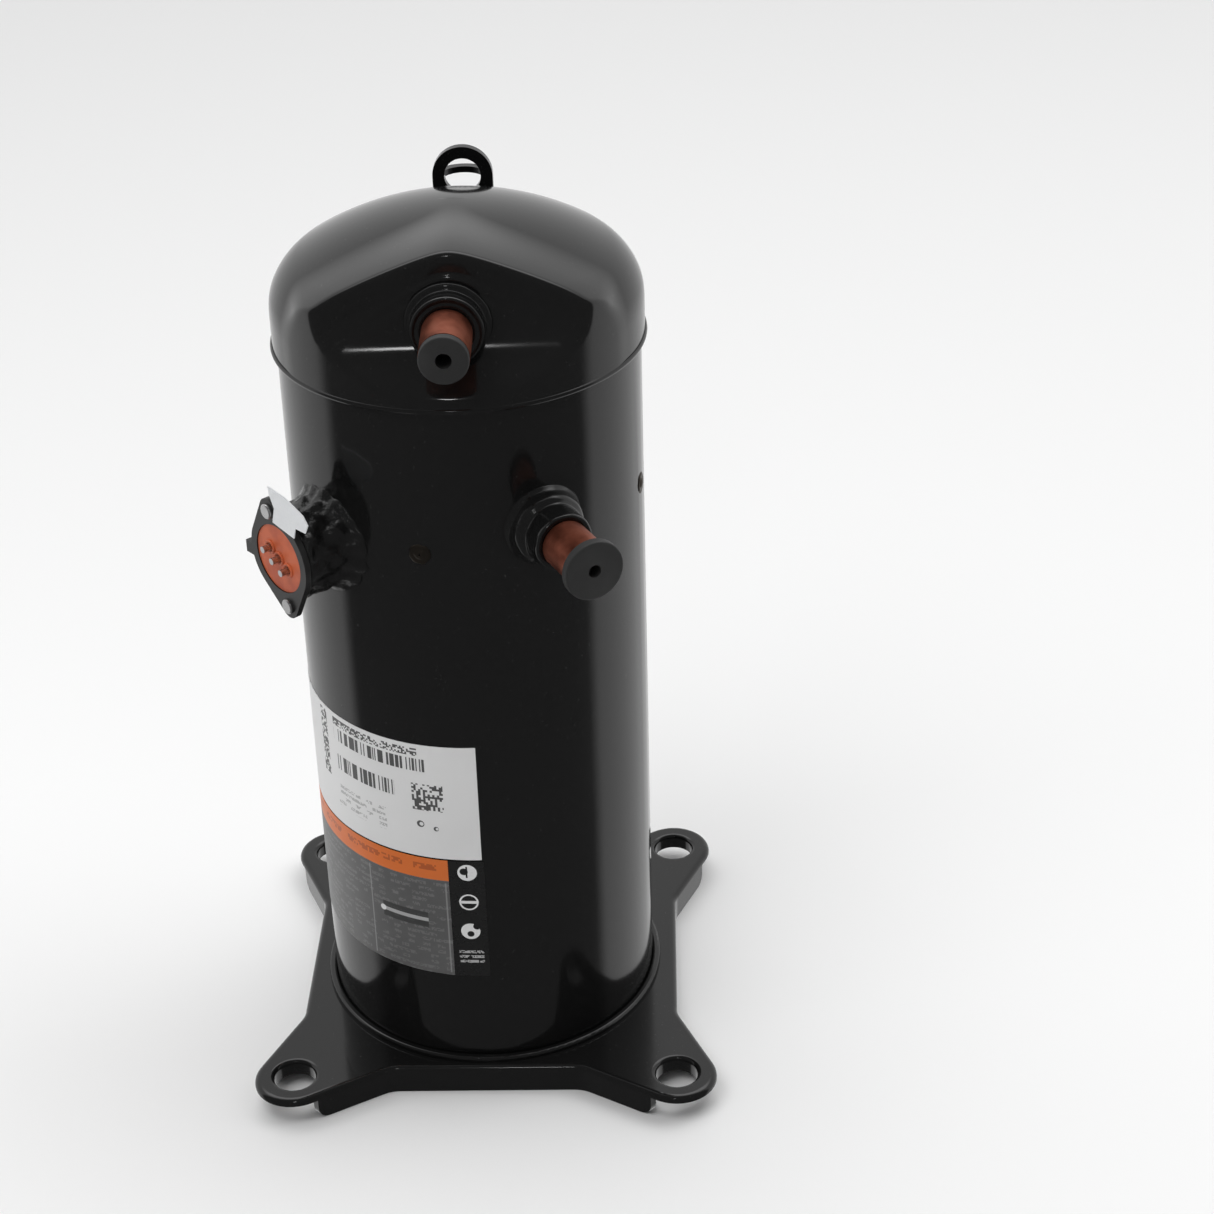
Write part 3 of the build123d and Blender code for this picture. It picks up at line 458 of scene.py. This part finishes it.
def makeSealant():
    plan = blackSealant
    sealant = newFinish("blackSealant")
    lumps = sealant.noise(plan["lump"], 3, 0.6)
    ripple = sealant.noise(plan["ripple"], 2)
    relief = sealant.bump(lumps, plan["lumpHeight"], 0.8)
    relief = sealant.bump(ripple, plan["rippleHeight"], 0.6, relief)
    rough = lumps * plan["lumpRoughness"] + plan["roughness"]
    return sealant.shade(Base_Color=grey(plan["colour"]), Roughness=rough, Normal=relief)


arcPerDegree = pi / 180 * shellR * 1000  # millimetres along the shell


class Print:  # where a point lies on the shell's labels, in degrees, millimetres up and along
    def __init__(self, film):
        self.film = film
        x, y, z = film.axes(film.place())
        turn = y.turnFrom(x) * (180 / pi)
        self.turn = turn - 360 * (turn > 0)
        self.rise = z * 1000
        self.arc = self.turn * arcPerDegree

    def box(self, start, end, low, high):
        return (self.turn > start) * (self.turn < end) * (self.rise > low) * (self.rise < high)

    def random(self, *values):
        cell = self.film.node("CombineXYZ", sockets={n: v for n, v in enumerate(values)})
        return self.film.node("TexWhiteNoise", {"noise_dimensions": "3D"}, {"Vector": cell})

    def whole(self, value, size):
        return (value / size).floor()

    def bars(self, width):
        return self.random(self.whole(self.arc, width)) > 0.48

    def dots(self, size, share=0.5):
        return self.random(self.whole(self.arc, size), self.whole(self.rise, size)) > share

    def words(self, rows, width=1.3, share=0.42):  # rows of short blocks, with no letters in them
        line = self.whole(self.rise, rows)
        block = self.random(self.whole(self.arc, width * 3), line) > share
        cells = self.whole(self.arc, width / 2), self.whole(self.rise, rows / 5)
        stroke = self.random(*cells) > 0.35
        return block * stroke * ((self.rise % rows) < rows * 0.55)

    def disc(self, turn, rise, radius):
        across = self.arc - turn * arcPerDegree
        return (across * across + (self.rise - rise) ** 2).root() < radius


def shadeFilm(film, colour, relief, rough=0.3):
    scuff = film.noise(220, 3)
    under = film.bump(scuff, 0.00003, 0.4)
    raised = film.bump(relief, 0.00002, 0.5, under)
    return film.shade(Base_Color=colour, Roughness=scuff * 0.12 + rough, Normal=raised)


nameplate = {  # each area is its start and end in degrees about the shaft, then its foot and top
    "film": 0.80,
    "aged": 0.93,
    "ink": 0.03,
    "barsUpper": (-143.0, -104.0, 174.5, 181.5),
    "marksUpper": (-143.0, -107.0, 183.0, 187.2),
    "barsLower": (-143.0, -116.0, 158.0, 166.5),
    "marksSide": (-152.0, -147.5, 150.0, 187.0),
    "cells": (-109.7, -99.0, 152.5, 167.5),
    "faint": (-143.0, -120.0, 136.0, 150.0),
    "seals": ((-107.3, 144.5, 1.9), (-102.0, 142.6, 1.3)),  # degrees, height, radius
    "barWidth": 0.62,
    "cellSize": 1.15,
    "faintRows": 3.2,
    "faintInk": 0.45,
}


def makeNameplate():
    plan = nameplate
    film = newFinish("nameplateFilm")
    sheet = Print(film)
    ink = sheet.box(*plan["barsUpper"]) * sheet.bars(plan["barWidth"])
    ink = ink + sheet.box(*plan["barsLower"]) * sheet.bars(plan["barWidth"] * 1.1)
    ink = ink + sheet.box(*plan["marksUpper"]) * sheet.dots(0.9, 0.42)
    ink = ink + sheet.box(*plan["marksSide"]) * sheet.dots(1.1, 0.4)
    ink = ink + sheet.box(*plan["cells"]) * sheet.dots(plan["cellSize"])
    for turn, rise, radius in plan["seals"]:
        middle = sheet.disc(turn + 0.3, rise, radius * 0.55)
        ink = ink + sheet.disc(turn, rise, radius) * (1 - middle)
    faint = sheet.box(*plan["faint"]) * sheet.words(plan["faintRows"]) * plan["faintInk"]
    mask = (ink + faint).atMost(1.0)
    tone = film.mix(film.noise(30, 2), grey(plan["film"]), grey(plan["film"] * plan["aged"]))
    return shadeFilm(film, film.mix(mask * 0.92, tone, grey(plan["ink"])), mask)


warning = {
    "header": 112.5,  # above this the label is orange
    "orange": (0.72, 0.16, 0.02, 1),
    "orangeInk": (0.30, 0.05, 0.01, 1),
    "headerWords": (-170.0, -103.0, 115.4, 121.4),
    "body": 0.085,
    "bodyInk": 0.22,
    "rows": 3.4,
    "rule": (-124.5, -107.0, 86.5, 88.6),
    "ruleField": (3.6, 3.4),  # how far the dark field reaches below and above the rule
    "ruleKnob": 1.7,
    "dividers": (-129.6, -100.4),
    "dividerWidth": 0.5,
    "dividerFoot": 57.0,
}


def makeWarning():
    plan = warning
    film = newFinish("warningFilm")
    sheet = Print(film)
    words = sheet.words(plan["rows"])
    body = film.mix(film.noise(55, 4, 0.7), grey(plan["body"]), grey(plan["body"] * 1.6))
    body = film.mix(words * 0.5, body, grey(plan["bodyInk"]))
    start, end, low, high = plan["rule"]
    below, above = plan["ruleField"]
    body = film.mix(sheet.box(start, end, low - below, high + above) * 0.75, body, grey(0.035))
    body = film.mix(sheet.box(start, end, low, high) * 0.8, body, grey(0.5))
    body = film.mix(sheet.disc(start, (low + high) / 2, plan["ruleKnob"]), body, grey(0.75))
    for turn in plan["dividers"]:
        line = sheet.box(turn, turn + plan["dividerWidth"], plan["dividerFoot"], plan["header"] - 1.5)
        body = film.mix(line * 0.6, body, grey(0.34))
    title = sheet.words(6.2, 2.0, 0.3) * sheet.box(*plan["headerWords"]) * 0.6
    header = film.mix(title, plan["orange"], plan["orangeInk"])
    return shadeFilm(film, film.mix(sheet.rise > plan["header"], body, header), words)


icons = {
    "rises": (118.0, 100.5, 83.0),
    "turn": -92.7,
    "radius": 4.7,
    "dial": (-1.1, 0.6, 0.42),  # degrees across, millimetres up, share of the radius
    "needle": (-0.5, 0.1, -3.0, 3.6),  # degrees either side, millimetres below and above
    "bar": (-3.8, 3.7, -0.8, 0.8),
    "barRing": 0.82,
    "pit": (0.0, -1.6, 0.36),
    "dot": (2.2, 3.0, 1.9),  # degrees across, millimetres up, radius
    "words": (-97.0, -88.6, 63.0, 72.0),
    "wordInk": 0.55,
    "film": 0.013,
    "ink": 0.8,
}


def makeIcons():
    plan = icons
    film = newFinish("iconFilm")
    sheet = Print(film)
    turn, radius = plan["turn"], plan["radius"]

    def spot(rise, name):
        across, up, share = plan[name]
        return sheet.disc(turn + across, rise + up, radius * share)

    def strip(rise, name):
        start, end, low, high = plan[name]
        return sheet.box(turn + start, turn + end, rise + low, rise + high)

    first, second, third = plan["rises"]
    across, up, size = plan["dot"]
    holes = {
        first: spot(first, "dial") + strip(first, "needle"),
        second: sheet.disc(turn, second, radius * plan["barRing"]) * (1 - strip(second, "bar")),
        third: spot(third, "pit") + sheet.disc(turn + across, third + up, size),
    }
    white = sheet.box(*plan["words"]) * sheet.words(2.9, 1.2, 0.15) * plan["wordInk"]
    for rise, hole in holes.items():
        white = white + sheet.disc(turn, rise, radius) * (1 - hole.atMost(1.0))
    mask = white.atMost(1.0)
    return shadeFilm(film, film.mix(mask, grey(plan["film"]), grey(plan["ink"])), mask, 0.22)


castGrey, castDark = (0.16, 0.155, 0.15, 1), (0.09, 0.085, 0.08, 1)
scaleLight, scaleDark = (0.10, 0.085, 0.07, 1), (0.03, 0.028, 0.025, 1)
orangeLight, orangeDark = (0.62, 0.13, 0.045, 1), (0.45, 0.08, 0.03, 1)
glassLight, glassDark = (0.05, 0.09, 0.07, 1), (0.03, 0.05, 0.05, 1)
bronzeLight, bronzeDark = (0.5, 0.32, 0.13, 1), (0.36, 0.2, 0.08, 1)
finishes = {
    "black_paint": makeBlackEnamel(),
    "black_sealant": makeSealant(),
    "weld_scale": makeMetal("weldScale", scaleLight, scaleDark, 0.3, 700, 0.0002),
    "black_polymer": makeMoulding("blackPolymer", grey(0.012), grey(0.02), 0.3),
    "copper": makeCopper(),
    "plug_rubber": makeRubber(),
    "orange_insulator": makeMoulding("orangeInsulator", orangeLight, orangeDark, 0.4),
    "bright_steel": makeMetal("brightSteel", grey(0.62), grey(0.42), 0.2),
    "seal_glass": makeMoulding("sealGlass", glassLight, glassDark, 0.1),
    "white_label": makeNameplate(),
    "grey_label": makeWarning(),
    "black_label": makeIcons(),
    "tag_paper": makePaper(),
    "cast_iron": makeMetal("castIron", castGrey, castDark, 0.5, 500, 0.0002),
    "machined_steel": makeMetal("machinedSteel", grey(0.5), grey(0.36), 0.24, 900, 0.00003, (1, 1, 8)),
    "lamination": makeLamination(),
    "winding_enamel": makeWinding(),
    "cast_aluminium": makeMetal("castAluminium", grey(0.58), grey(0.4), 0.38, 700, 0.0001),
    "bearing_bronze": makeMetal("bearingBronze", bronzeLight, bronzeDark, 0.28),
    "protector_case": makeMoulding("protectorCase", grey(0.03), grey(0.05), 0.45),
    "lead_sleeve": makeMoulding("leadSleeve", grey(0.6, 0.05), grey(0.5, 0.05), 0.5),
    "magnet_ferrite": makeMoulding("magnetFerrite", grey(0.03), grey(0.045), 0.6),
}
for part in frame["record"]["subparts"]:
    mesh = nodes[part["node"]].data
    mesh.materials.clear()
    mesh.materials.append(finishes[part["material_slot"]])
print("finishes made:", len(finishes))


# shapes

def outward(azimuth, height):  # local z points out of the shell and local x down
    turn = Matrix.Rotation(radians(azimuth), 4, "Z")
    lift = Matrix.Translation((0, 0, height))
    return turn @ lift @ Matrix.Rotation(pi / 2, 4, "Y")


def circle(radius, turns):
    angles = [2 * pi * n / turns for n in range(turns)]
    return [(radius * cos(angle), radius * sin(angle)) for angle in angles]


def addPiece(name, rings, slot, through=False, material=None):  # a ring of one point is a pole
    points = [tuple(point) for ring in rings for point in ring]
    starts = [sum(len(ring) for ring in rings[:n]) for n in range(len(rings))]
    pairs = [(n, n + 1) for n in range(len(rings) - 1)]
    if through:  # the last ring joins the first, as on a tube
        pairs.append((len(rings) - 1, 0))
    faces = []
    for a, b in pairs:
        for n in range(max(len(rings[a]), len(rings[b]))):
            corners = [starts[a] + n % len(rings[a]), starts[a] + (n + 1) % len(rings[a])]
            corners += [starts[b] + (n + 1) % len(rings[b]), starts[b] + n % len(rings[b])]
            faces.append(list(dict.fromkeys(corners)))
    mesh = bpy.data.meshes.new(name)
    mesh.from_pydata(points, [], faces)
    work = bmesh.new()
    work.from_mesh(mesh)
    bmesh.ops.recalc_face_normals(work, faces=work.faces)
    work.to_mesh(mesh)
    work.free()
    for polygon in mesh.polygons:
        polygon.use_smooth = True
    mesh.materials.append(finishes[material or slot])
    piece = bpy.data.objects.new(name, mesh)
    bpy.context.collection.objects.link(piece)
    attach(piece, "casing")
    return piece


def softMin(a, b, width):
    near = np.clip(1 - abs(a - b) / width, 0, None)
    return np.minimum(a, b) - near * near * width / 4


def softMax(a, b, width):
    return -softMin(-a, -b, width)


def easeIn(value, low, high):
    share = np.clip((value - low) / (high - low), 0, 1)
    return share * share * (3 - 2 * share)


capLow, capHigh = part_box("top_cap")
capR = (capHigh.x - capLow.x) / 2
mounts = {mount["name"]: mount for mount in frame["record"]["mounts"]}


def mountAt(name):  # azimuth, height and distance from the shaft's axis
    x, y, z = mounts[name]["pos_m"]
    return degrees(atan2(y, x)), z, hypot(x, y)

cap = {
    "skirt": 0.016,
    "knuckle": 0.030,
    "crown": 0.137,
    "facetAzimuth": -88.0,
    "facetDepth": 0.0212,
    "facetHalf": 0.058,
    "facetEdge": 0.003,  # rounding of the facet's edge
    "slopeTop": 0.0235,  # above the lip
    "slopeFoot": 0.0062,
    "slopeSoft": 0.010,
    "eave": 0.0315,
    "ridge": 0.0655,
    "ridgeSoft": 0.0085,
    "flank": (0.002, 0.034),  # how far the gable's flanks flare, at the crown and at the facet
    "steps": (0.0045, 0.0095),  # below the roofline
    "stepDepth": 0.0011,
    "stepWidth": 0.0022,
    "frontReach": -0.01,  # the gable starts just behind the shaft
    "sideSoft": 0.004,
    "rimSoft": 0.0015,
    "wall": 0.00215,
    "heart": 0.002,  # height above the lip of the point from which the surface is sought
    "sought": (0.03, 0.13),  # nearest and farthest that it can be
    "halvings": 26,
    "bead": 0.0013,  # the weld under the lip
    "beadSteps": 12,
    "turns": 540,
    "rows": 230,
}


def capField(x, y, z):  # under zero inside the metal
    knee = capLow.z + cap["skirt"]
    reach = cap["crown"] - cap["knuckle"]
    middle = knee - sqrt(reach**2 - (capR - cap["knuckle"]) ** 2)
    q = np.hypot(x, y)
    crown = np.hypot(q, z - middle) - cap["crown"]
    knuckle = np.hypot(np.maximum(q - capR + cap["knuckle"], 0), z - knee) - cap["knuckle"]
    inCrown = q * (knee - middle) < (z - middle) * (capR - cap["knuckle"])
    dome = np.where(z < knee, q - capR, np.where(inCrown, crown, knuckle))
    turn = radians(cap["facetAzimuth"])
    out = x * cos(turn) + y * sin(turn)
    along = y * cos(turn) - x * sin(turn)
    pitch = atan2(cap["ridge"] - cap["eave"], cap["facetHalf"])
    slant = np.sqrt(along**2 + cap["ridgeSoft"] ** 2)
    roof = (z - capLow.z - cap["ridge"]) * cos(pitch) + slant * sin(pitch)
    gable = softMax(roof, abs(along) - cap["facetHalf"], cap["sideSoft"])
    gable = np.where(out > cap["frontReach"], gable, 0.02)
    low, high = cap["flank"]
    form = softMin(dome, gable, low + (high - low) * easeIn(out, 0.0, 0.07))
    form = softMax(form, q - capR, cap["rimSoft"])
    steps = sum(easeIn(-roof, at, at + cap["stepWidth"]) for at in cap["steps"])
    facet = capR - cap["facetDepth"] + cap["stepDepth"] * (steps - len(cap["steps"]))
    lean = atan2(cap["slopeTop"] - cap["slopeFoot"], cap["facetDepth"])
    slope = (z - capLow.z - cap["slopeFoot"]) * cos(lean) + (out - capR) * sin(lean)
    front = softMin(out - facet, slope, cap["slopeSoft"])
    return softMax(form, front, cap["facetEdge"])


def makeCap():
    heart = capLow.z + cap["heart"]
    angles = np.linspace(0, 2 * pi, cap["turns"], endpoint=False)
    lifts = np.linspace(pi / 2, 0, cap["rows"] + 1)[1:]
    lift, angle = np.meshgrid(lifts, angles, indexing="ij")
    ways = np.stack([np.cos(lift) * np.cos(angle), np.cos(lift) * np.sin(angle), np.sin(lift)])
    near, far = (np.full(lift.shape, limit) for limit in cap["sought"])
    for _ in range(cap["halvings"]):
        middle = (near + far) / 2
        x, y, z = ways * middle
        inside = capField(x, y, z + heart) < 0
        near, far = np.where(inside, middle, near), np.where(inside, far, middle)
    outer = np.moveaxis(ways * near, 0, -1) + (0, 0, heart)
    inner = outer - np.moveaxis(ways, 0, -1) * cap["wall"]
    top = outer[0, :, 2].mean()
    bead, steps = cap["bead"], cap["beadSteps"]
    turns = [pi * n / steps for n in range(1, steps)]
    rim = [(capR - bead / 2 + bead * sin(a), heart - bead - bead * cos(a)) for a in turns]
    rim.append((capR - cap["wall"], heart - 2 * bead))
    rings = [[(0, 0, top)]] + list(outer)
    rings += [[(x, y, z) for x, y in circle(r, cap["turns"])] for r, z in rim]
    rings += list(inner[::-1]) + [[(0, 0, top - cap["wall"])]]
    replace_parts(addPiece("capPressing", rings, "black_paint"), "top_cap")


makeCap()
print("cap made")


def makeTurned(name, slot, azimuth, height, seatR, plan, curved=True, material=None):
    place = outward(azimuth, height)
    drift = Vector((7.0, azimuth, 3.0))  # so that no two pieces have the same lumps
    rings = []
    for radius, rise, grip in plan["profile"]:
        ring = []
        for x, y in circle(radius, plan["turns"]):
            swell = plan["lump"] * noise.noise(Vector((x, y, rise)) * plan["grain"] + drift)
            x, y = x * (1 + swell / radius), y * (1 + swell / radius)
            seat = sqrt(seatR**2 - y**2) if curved else seatR
            ring.append(place @ Vector((x, y, grip * seat + (1 - grip) * seatR + rise)))
        rings.append(ring)
    return addPiece(name, rings, slot, through=True, material=material)


# a profile's points are (radius, rise from the seat, how closely it follows the seat's curve)
suctionFitting = {
    "profile": (
        (0.0105, -0.004, 0), (0.0165, -0.004, 0.3), (0.0197, -0.0006, 1), (0.0190, 0.0006, 1),
        (0.0180, 0.0016, 0.9), (0.0174, 0.0032, 0.7), (0.0171, 0.0050, 0.4), (0.0167, 0.0066, 0.2),
        (0.0158, 0.0076, 0), (0.0147, 0.0082, 0), (0.0141, 0.0090, 0), (0.0139, 0.0105, 0),
        (0.0139, 0.0180, 0), (0.0138, 0.0196, 0), (0.0134, 0.0203, 0), (0.0126, 0.0205, 0),
        (0.0116, 0.0202, 0), (0.0105, 0.0202, 0),
    ),
    "lump": 0.0003,
    "grain": 160.0,
    "turns": 96,
}

dischargeFitting = {
    "profile": (
        (0.0105, -0.003, 0), (0.0192, -0.0012, 0), (0.0194, 0.0004, 0), (0.0188, 0.0013, 0),
        (0.0178, 0.0017, 0), (0.0169, 0.0017, 0), (0.0164, 0.0024, 0), (0.0163, 0.0042, 0),
        (0.0163, 0.0082, 0), (0.0161, 0.0090, 0), (0.0156, 0.0095, 0), (0.0148, 0.0095, 0),
        (0.0143, 0.0090, 0), (0.0136, 0.0088, 0), (0.0130, 0.0092, 0), (0.0122, 0.0094, 0),
        (0.0113, 0.0089, 0), (0.0105, 0.0089, 0),
    ),
    "lump": 0.00025,
    "grain": 160.0,
    "turns": 96,
}

fence = {
    "profile": (
        (0.0184, -0.004, 0), (0.0230, -0.003, 1), (0.0262, -0.0006, 1), (0.0250, 0.0008, 1),
        (0.0236, 0.0018, 1), (0.0224, 0.0030, 0.9), (0.0217, 0.0046, 0.7), (0.0213, 0.0066, 0.5),
        (0.0211, 0.0088, 0.3), (0.0209, 0.0112, 0.1), (0.0208, 0.0136, 0), (0.0209, 0.0158, 0),
        (0.0208, 0.0180, 0), (0.0210, 0.0200, 0), (0.0210, 0.0218, 0), (0.0207, 0.0232, 0),
        (0.0198, 0.0235, 0), (0.0184, 0.0235, 0), (0.0184, 0.0100, 0),
    ),
    "lump": 0.0022,
    "grain": 210.0,
    "turns": 160,
}


def makeFittings():
    azimuth, height, reach = mountAt("suction_stub")
    collar = makeTurned("suctionCollar", "black_paint", azimuth, height, shellR, suctionFitting)
    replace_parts(collar, "suction_fitting")
    azimuth, height, reach = mountAt("discharge_stub")
    facetR = capR - cap["facetDepth"]
    boss = makeTurned(
        "dischargeBoss", "black_paint", azimuth, height, facetR, dischargeFitting, curved=False
    )
    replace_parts(boss, "discharge_fitting")
    azimuth, height, reach = mountAt("motor_terminal")
    ring = makeTurned(
        "fenceSealant", "black_polymer", azimuth, height, shellR, fence, material="black_sealant"
    )
    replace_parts(ring, "terminal_fence")


makeFittings()
print("fittings and fence made")


shellWeld = {
    "azimuths": (-101.0, -11.0, 79.0, 169.0),
    "profile": (
        (0.0002, -0.002, 1), (0.0040, -0.002, 1), (0.0052, -0.0003, 1), (0.0048, 0.0003, 1),
        (0.0042, 0.0006, 1), (0.0034, 0.0004, 1), (0.0029, 0.0003, 1), (0.0023, 0.0008, 1),
        (0.0014, 0.0011, 1), (0.0002, 0.0012, 1),
    ),
    "lump": 0.0007,
    "grain": 380.0,
    "turns": 48,
}


def makeShellWelds():
    low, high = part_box("plug_welds")
    for n, azimuth in enumerate(shellWeld["azimuths"], 1):
        weld = makeTurned(
            f"shellWeld{n}", "black_paint", azimuth, (low.z + high.z) / 2, shellR, shellWeld,
            material="weld_scale",
        )
        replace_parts(weld, "plug_welds")


pinCollar = {
    "pitch": 0.0072,
    "tilt": 60.0,
    "sunk": 0.0006,  # the insulator's face lies this far inside the pins' mount
    "turns": 40,
    "profile": (  # radius and rise from the insulator's face
        (0.0017, -0.0012), (0.0036, -0.0012), (0.0035, 0.0004), (0.0032, 0.0008),
        (0.0027, 0.0009), (0.0023, 0.0006), (0.0020, 0.0001), (0.0017, 0.0000),
    ),
}


def makePinCollars():
    azimuth, height, reach = mountAt("motor_terminal")
    place = outward(azimuth, height)
    tilt = radians(pinCollar["tilt"])
    face = reach - pinCollar["sunk"]
    for n in (-1, 0, 1):
        step = n * pinCollar["pitch"]
        middle = Vector((step * cos(tilt), step * sin(tilt), face))
        rings = [
            [place @ (middle + Vector((x, y, rise))) for x, y in circle(radius, pinCollar["turns"])]
            for radius, rise in pinCollar["profile"]
        ]
        addPiece(f"pinCollar{n + 2}", rings, "orange_insulator", through=True)


makeShellWelds()
makePinCollars()
print("welds and pin collars made")
